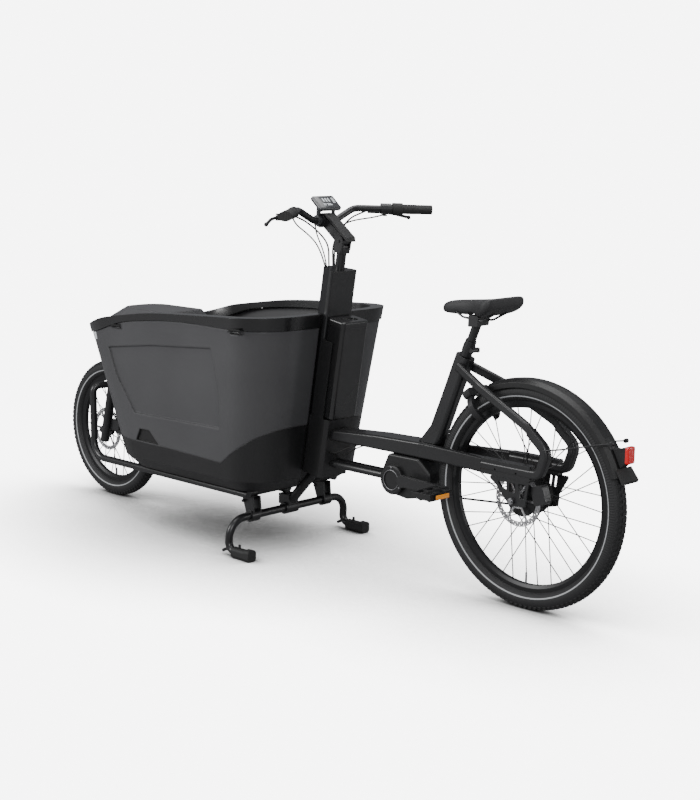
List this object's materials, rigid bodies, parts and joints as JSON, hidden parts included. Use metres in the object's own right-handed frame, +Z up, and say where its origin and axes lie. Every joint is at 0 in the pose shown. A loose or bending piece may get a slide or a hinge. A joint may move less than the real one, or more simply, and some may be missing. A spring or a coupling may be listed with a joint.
{
  "type": "front loading cargo bicycle",
  "caption": "Electric cargo bicycle with a deep front box between the wheels, a rear mast with handlebar and battery, belt drive, disc brakes and a centre stand.",
  "frame": {"origin": "on the ground, midway along the bicycle's length and on its middle plane", "axes": "-X is the riding direction, +Y is the rider's right-hand side, +Z is up"},
  "size_m": [2.5959, 0.6856, 1.1744],
  "materials": {
    "frame_paint": "satin",
    "box_grey": "satin moulded",
    "black_plastic": "fine grain",
    "battery_case": "semi gloss",
    "rubber_black": "matt",
    "tyre": "matt with block tread",
    "rim": "black anodised",
    "spoke": "black",
    "hub": "black anodised",
    "disc": "ground",
    "steel": "plated",
    "alloy_black": "satin anodised",
    "belt": "ribbed",
    "screen": "glossy",
    "lamp_white": "translucent",
    "lamp_red": "translucent",
    "saddle_cover": "matt synthetic",
    "fork_paint": "satin"
  },
  "bodies": {
    "frame": {"main_beam": "frame_paint", "chainstays": "frame_paint", "stay_loops": "frame_paint", "seat_tube": "frame_paint", "seatstays": "frame_paint", "dropouts": "frame_paint", "rear_axle": "steel", "motor_housing": "black_plastic", "motor_cover": "black_plastic", "drive_belt": "belt", "mast": "frame_paint", "tower_housing": "black_plastic", "lower_tubes": "frame_paint", "box_shell": "box_grey", "box_skirt": "black_plastic", "box_rim": "black_plastic", "front_light": "lamp_white", "front_frame": "frame_paint", "rear_caliper": "alloy_black", "stand_brackets": "frame_paint", "seat_collar": "alloy_black", "rear_fender": "black_plastic", "mudflap": "rubber_black", "tail_light": "black_plastic", "tail_lens": "lamp_red", "ring_lock": "alloy_black"},
    "steering": {"steering_post": "alloy_black"},
    "cockpit": {"stem": "alloy_black", "stem_cover": "black_plastic", "handlebar": "alloy_black", "grips": "rubber_black", "brake_perches": "alloy_black", "display": "screen", "brake_hoses": "rubber_black"},
    "left_lever": {"left_brake_lever": "alloy_black"},
    "right_lever": {"right_brake_lever": "alloy_black"},
    "shifter": {"twist_shifter": "rubber_black"},
    "fork": {"fork_crown": "fork_paint"},
    "fork_slider": {"fork_lowers": "fork_paint", "front_caliper": "alloy_black"},
    "front_wheel": {"front_tyre": "tyre", "front_rim": "rim", "front_spokes": "spoke", "front_hub": "hub", "front_disc": "disc"},
    "rear_wheel": {"rear_tyre": "tyre", "rear_rim": "rim", "rear_spokes": "spoke", "rear_hub": "hub", "rear_disc": "disc"},
    "rear_drive": {"rear_pulley": "steel"},
    "crank": {"crankset": "alloy_black"},
    "pedal_left": {"left_pedal": "black_plastic"},
    "pedal_right": {"right_pedal": "black_plastic"},
    "centre_stand": {"stand": "frame_paint", "stand_feet": "rubber_black"},
    "seat": {"seatpost": "alloy_black", "saddle": "saddle_cover"},
    "seat_clamp": {"seat_lever": "alloy_black"},
    "battery_pack": {"battery": "battery_case"}
  },
  "joints": [
    {"name": "steering", "type": "hinge", "parent": "frame", "child": "steering", "pos_m": [0.161, 0, 0.94], "axis": [0.1633, 0, 0.9866], "range_deg": [-40, 40]},
    {"name": "fork_steer", "type": "hinge", "parent": "frame", "child": "fork", "pos_m": [-0.99362, 0, 0.258], "axis": [0.2419, 0, 0.9703], "range_deg": [-40, 40]},
    {"name": "stem_tilt", "type": "hinge", "parent": "steering", "child": "cockpit", "pos_m": [0.17684, 0, 1.0357], "axis": [0, 1, 0], "range_deg": [0, 20]},
    {"name": "left_brake", "type": "hinge", "parent": "cockpit", "child": "left_lever", "pos_m": [0.12856, -0.23721, 1.1165], "axis": [0, 0, 1], "range_deg": [0, 18], "stiffness_Nm_per_rad": 2, "springref_deg": -14.32},
    {"name": "right_brake", "type": "hinge", "parent": "cockpit", "child": "right_lever", "pos_m": [0.12856, 0.23721, 1.1165], "axis": [0, 0, -1], "range_deg": [0, 18], "stiffness_Nm_per_rad": 2, "springref_deg": -14.32},
    {"name": "gear_twist", "type": "hinge", "parent": "cockpit", "child": "shifter", "pos_m": [0.18878, 0.23996, 1.12959], "axis": [-0.6111, -0.7912, 0.0235], "range_deg": [-60, 120]},
    {"name": "fork_travel", "type": "slide", "parent": "fork", "child": "fork_slider", "axis": [0.2419, 0, 0.9703], "range_m": [0, 0.04], "stiffness_N_per_m": 12000, "springref_m": -0.025},
    {"name": "front_wheel_spin", "type": "hinge", "parent": "fork_slider", "child": "front_wheel", "pos_m": [-1.04, 0, 0.258], "axis": [0, 1, 0], "continuous": true},
    {"name": "rear_wheel_spin", "type": "hinge", "parent": "frame", "child": "rear_wheel", "pos_m": [0.946, 0, 0.3345], "axis": [0, 1, 0], "continuous": true},
    {"name": "crank_spin", "type": "hinge", "parent": "frame", "child": "crank", "pos_m": [0.521, 0, 0.321], "axis": [0, 1, 0], "continuous": true},
    {"name": "rear_pulley_spin", "type": "hinge", "parent": "frame", "child": "rear_drive", "pos_m": [0.946, 0, 0.3345], "axis": [0, 1, 0], "continuous": true},
    {"name": "left_pedal_spin", "type": "hinge", "parent": "crank", "child": "pedal_left", "pos_m": [0.693, -0.142, 0.321], "axis": [0, 1, 0], "continuous": true},
    {"name": "right_pedal_spin", "type": "hinge", "parent": "crank", "child": "pedal_right", "pos_m": [0.349, 0.142, 0.321], "axis": [0, 1, 0], "continuous": true},
    {"name": "stand_fold", "type": "hinge", "parent": "frame", "child": "centre_stand", "pos_m": [-0.071, 0, 0.12], "axis": [0, -1, 0], "range_deg": [0, 75]},
    {"name": "seat_height", "type": "slide", "parent": "frame", "child": "seat", "axis": [0.3875, 0, 0.9219], "range_m": [-0.03, 0.09]},
    {"name": "seat_quick_release", "type": "hinge", "parent": "frame", "child": "seat_clamp", "pos_m": [0.72475, 0.02, 0.74044], "axis": [0, 0, -1], "range_deg": [0, 90]},
    {"name": "battery_slide", "type": "slide", "parent": "frame", "child": "battery_pack", "axis": [0.1633, 0, 0.9866], "range_m": [0, 0.2]}
  ],
  "couplings": [
    {"joint": "fork_steer", "follows": "steering", "ratio": 1},
    {"joint": "rear_pulley_spin", "follows": "crank_spin", "ratio": 1.55}
  ]
}
